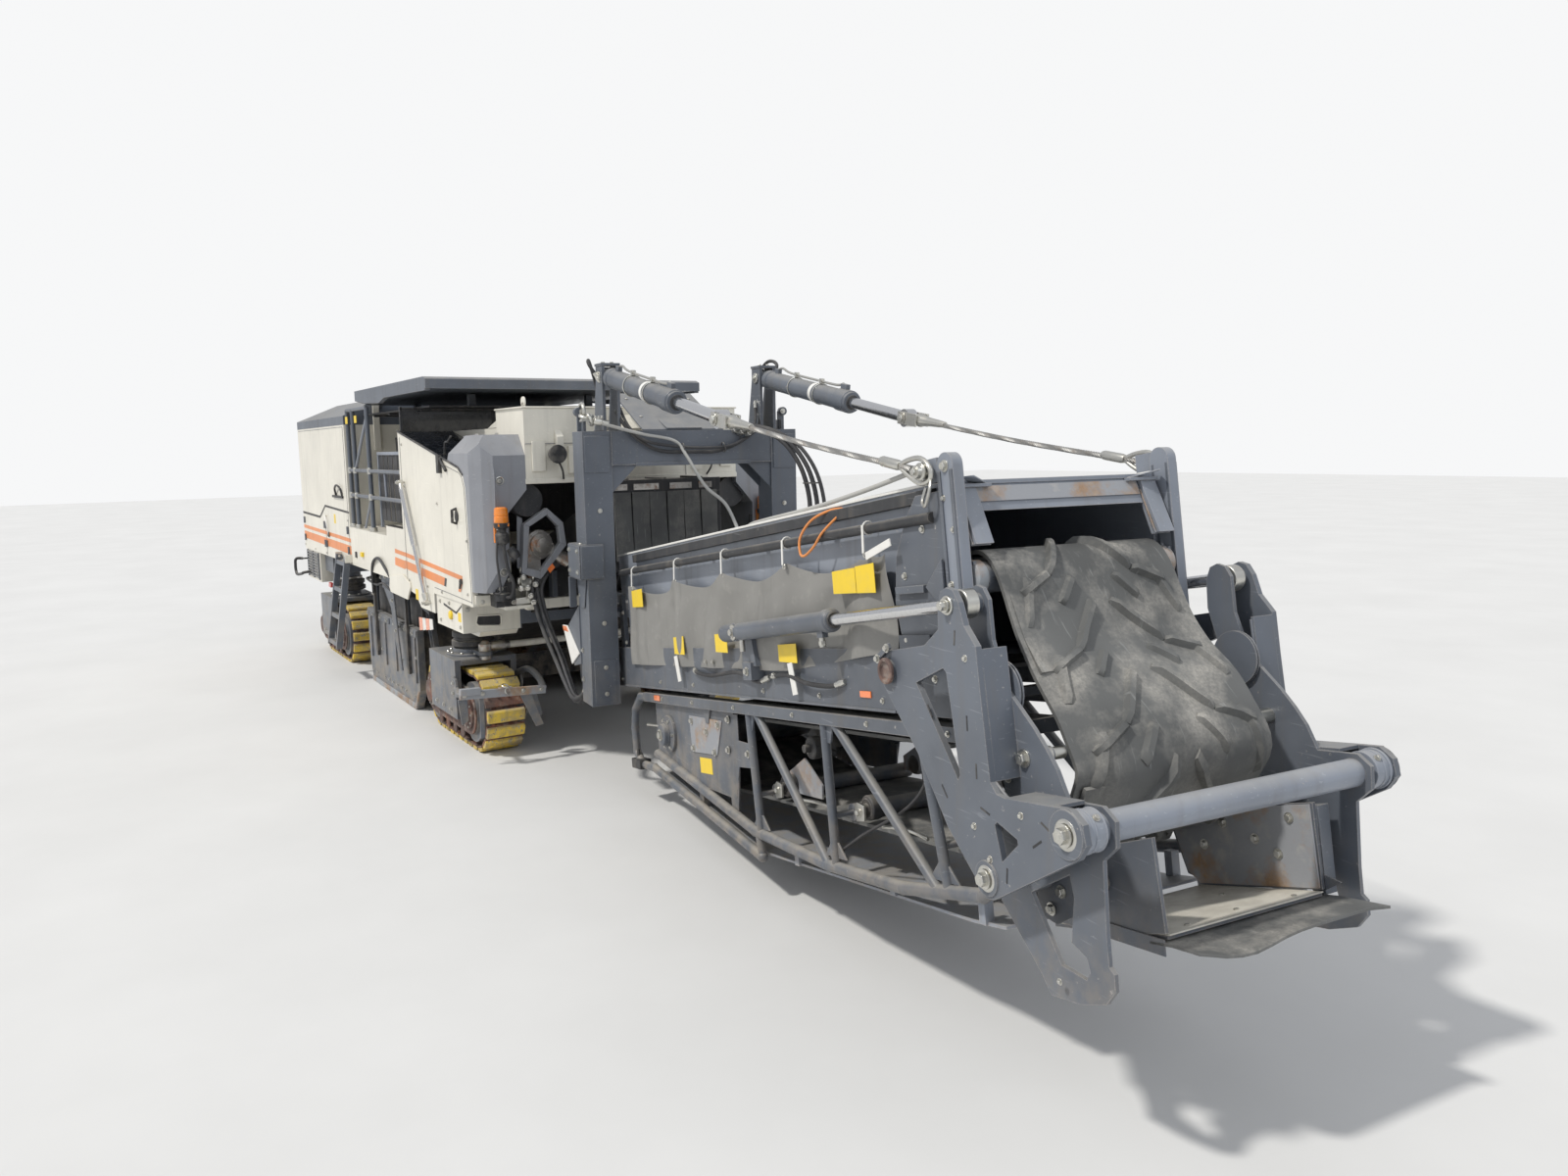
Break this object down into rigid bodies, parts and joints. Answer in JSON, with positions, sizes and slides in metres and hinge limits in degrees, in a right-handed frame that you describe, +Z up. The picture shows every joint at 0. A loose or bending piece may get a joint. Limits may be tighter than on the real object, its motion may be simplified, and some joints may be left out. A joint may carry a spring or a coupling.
{
  "type": "cold planer",
  "caption": "Self-propelled cold planer on four steered crawler tracks, with its front discharge conveyor folded for parking.",
  "frame": {"origin": "middle of the footprint of the whole machine, on the ground under the tracks", "axes": "+X forward along the machine towards the discharge conveyor, +Y to its left, +Z up"},
  "size_m": [12.685, 2.7086, 2.95],
  "materials": {
    "bare_steel": "worn",
    "belt_rubber": "worn",
    "black_paint": "satin",
    "cream_paint": "satin",
    "grey_paint": "satin",
    "orange_lens": "gloss",
    "rusty_steel": "worn",
    "slate_paint": "satin",
    "steel_rope": "dull",
    "yellow_pads": "worn"
  },
  "bodies": {
    "machine": {"chassis_frame": "slate_paint", "engine_block": "black_paint", "engine_body": "cream_paint", "front_body": "cream_paint", "corner_covers": "grey_paint", "platform_deck": "slate_paint", "guard_rails": "slate_paint", "operator_station": "black_paint", "drum_housing": "black_paint", "primary_conveyor": "slate_paint", "primary_belt": "belt_rubber", "lamps": "orange_lens"},
    "canopy": {"canopy_roof": "slate_paint"},
    "hood": {"engine_hood": "slate_paint"},
    "drum": {"milling_drum": "rusty_steel"},
    "plate_right": {"edge_plate_right": "slate_paint"},
    "plate_left": {"edge_plate_left": "slate_paint"},
    "scraper": {"scraper_door": "slate_paint"},
    "ladder_body": {"ladder": "slate_paint"},
    "track_front_right_body": {"yoke_front_right": "slate_paint", "track_front_right": "yellow_pads"},
    "track_front_left_body": {"yoke_front_left": "slate_paint", "track_front_left": "yellow_pads"},
    "track_rear_right_body": {"yoke_rear_right": "slate_paint", "track_rear_right": "yellow_pads"},
    "track_rear_left_body": {"yoke_rear_left": "slate_paint", "track_rear_left": "yellow_pads"},
    "tie": {"tie_rod": "cream_paint"},
    "swing": {"swing_gate": "slate_paint"},
    "inner": {"inner_frame": "slate_paint", "inner_hood": "grey_paint", "inner_belt": "belt_rubber", "end_posts": "grey_paint"},
    "link": {"belt_loop": "belt_rubber", "fold_links": "slate_paint", "cross_tube": "grey_paint"},
    "outer": {"outer_frame": "slate_paint", "outer_hood": "grey_paint", "transfer_chute": "rusty_steel", "outer_belt": "belt_rubber"},
    "luff_barrel": {"luff_barrels": "slate_paint"},
    "luff_rod": {"luff_rods": "bare_steel"},
    "luff_rope": {"luff_ropes": "steel_rope"},
    "fold_barrel": {"fold_barrels": "slate_paint"},
    "fold_rod": {"fold_rods": "bare_steel"}
  },
  "joints": [
    {"name": "drum_spin", "type": "hinge", "parent": "machine", "child": "drum", "pos_m": [-2.79251, 0.1043, 0.515], "axis": [0, 1, 0], "continuous": true},
    {"name": "steer_front_right", "type": "hinge", "parent": "machine", "child": "track_front_right_body", "pos_m": [-0.65251, -0.87069, 0.8], "axis": [0, 0, 1], "range_deg": [-18, 18]},
    {"name": "steer_front_left", "type": "hinge", "parent": "machine", "child": "track_front_left_body", "pos_m": [-0.65251, 1.0793, 0.8], "axis": [0, 0, 1], "range_deg": [-18, 18]},
    {"name": "tie_rod_turn", "type": "hinge", "parent": "track_front_right_body", "child": "tie", "pos_m": [-0.35251, -0.87069, 0.8], "axis": [0, 0, 1], "range_deg": [-18, 18]},
    {"name": "steer_rear_right", "type": "hinge", "parent": "machine", "child": "track_rear_right_body", "pos_m": [-5.29251, -0.87069, 0.8], "axis": [0, 0, 1], "range_deg": [-15, 15]},
    {"name": "steer_rear_left", "type": "hinge", "parent": "machine", "child": "track_rear_left_body", "pos_m": [-5.29251, 1.0793, 0.8], "axis": [0, 0, 1], "range_deg": [-15, 15]},
    {"name": "conveyor_swing", "type": "hinge", "parent": "machine", "child": "swing", "pos_m": [0.90749, 0.1043, 1.2], "axis": [0, 0, 1], "range_deg": [-39, 51]},
    {"name": "conveyor_luff", "type": "hinge", "parent": "swing", "child": "inner", "pos_m": [1.4495, 0.04734, 0.86], "axis": [-0.1045, -0.9945, 0], "range_deg": [-2.5, 11]},
    {"name": "luff_barrel_turn", "type": "hinge", "parent": "swing", "child": "luff_barrel", "pos_m": [1.51415, 0.04054, 2.826], "axis": [-0.1045, -0.9945, 0], "range_deg": [-2.83, 11.11]},
    {"name": "luff_rod_slide", "type": "slide", "parent": "luff_barrel", "child": "luff_rod", "axis": [0.9793, -0.1029, -0.1745], "range_m": [-0.3807, 0.0896]},
    {"name": "luff_rope_turn", "type": "hinge", "parent": "inner", "child": "luff_rope", "pos_m": [5.20806, -0.3477, 2.25297], "axis": [-0.1045, -0.9945, 0], "range_deg": [-0.69, 0.47]},
    {"name": "fold_turn", "type": "hinge", "parent": "inner", "child": "link", "pos_m": [5.19189, -0.346, 1.513], "axis": [-0.1045, -0.9945, 0], "range_deg": [0, 73.3]},
    {"name": "outer_turn", "type": "hinge", "parent": "link", "child": "outer", "pos_m": [5.79577, -0.40947, 0.90991], "axis": [-0.1045, -0.9945, 0], "range_deg": [-0.4, 107.1]},
    {"name": "fold_barrel_turn", "type": "hinge", "parent": "inner", "child": "fold_barrel", "pos_m": [3.66235, -0.18524, 1.43547], "axis": [-0.1045, -0.9945, 0], "range_deg": [-0.4, 10.37]},
    {"name": "fold_rod_slide", "type": "slide", "parent": "fold_barrel", "child": "fold_rod", "axis": [0.9765, -0.1026, 0.1897], "range_m": [-0.4911, 0.004]},
    {"name": "hood_open", "type": "hinge", "parent": "machine", "child": "hood", "pos_m": [-3.70751, 0.1043, 2.845], "axis": [0, 1, 0], "range_deg": [0, 50]},
    {"name": "canopy_lift", "type": "slide", "parent": "machine", "child": "canopy", "axis": [0, 0, 1], "range_m": [0, 0.45]},
    {"name": "plate_lift_right", "type": "slide", "parent": "machine", "child": "plate_right", "axis": [0, 0, 1], "range_m": [0, 0.25]},
    {"name": "plate_lift_left", "type": "slide", "parent": "machine", "child": "plate_left", "axis": [0, 0, 1], "range_m": [0, 0.25]},
    {"name": "scraper_open", "type": "hinge", "parent": "machine", "child": "scraper", "pos_m": [-3.72251, 0.1043, 1.01], "axis": [0, 1, 0], "range_deg": [0, 50]},
    {"name": "ladder_fold", "type": "hinge", "parent": "machine", "child": "ladder_body", "pos_m": [-4.11251, -1.18569, 1.27], "axis": [-1, 0, 0], "range_deg": [0, 165]}
  ],
  "couplings": [
    {"joint": "steer_front_left", "follows": "steer_front_right", "ratio": 1},
    {"joint": "tie_rod_turn", "follows": "steer_front_right", "ratio": -1},
    {"joint": "steer_rear_left", "follows": "steer_rear_right", "ratio": 1},
    {"joint": "luff_barrel_turn", "follows": "conveyor_luff", "ratio": 0.97329},
    {"joint": "luff_rod_slide", "follows": "conveyor_luff", "m_per_rad": -1.9624},
    {"joint": "luff_rope_turn", "follows": "conveyor_luff", "ratio": -0.026709},
    {"joint": "outer_turn", "follows": "fold_turn", "ratio": 1.4557},
    {"joint": "fold_barrel_turn", "follows": "fold_turn", "ratio": 0.13601},
    {"joint": "fold_rod_slide", "follows": "fold_turn", "m_per_rad": -0.38076}
  ]
}
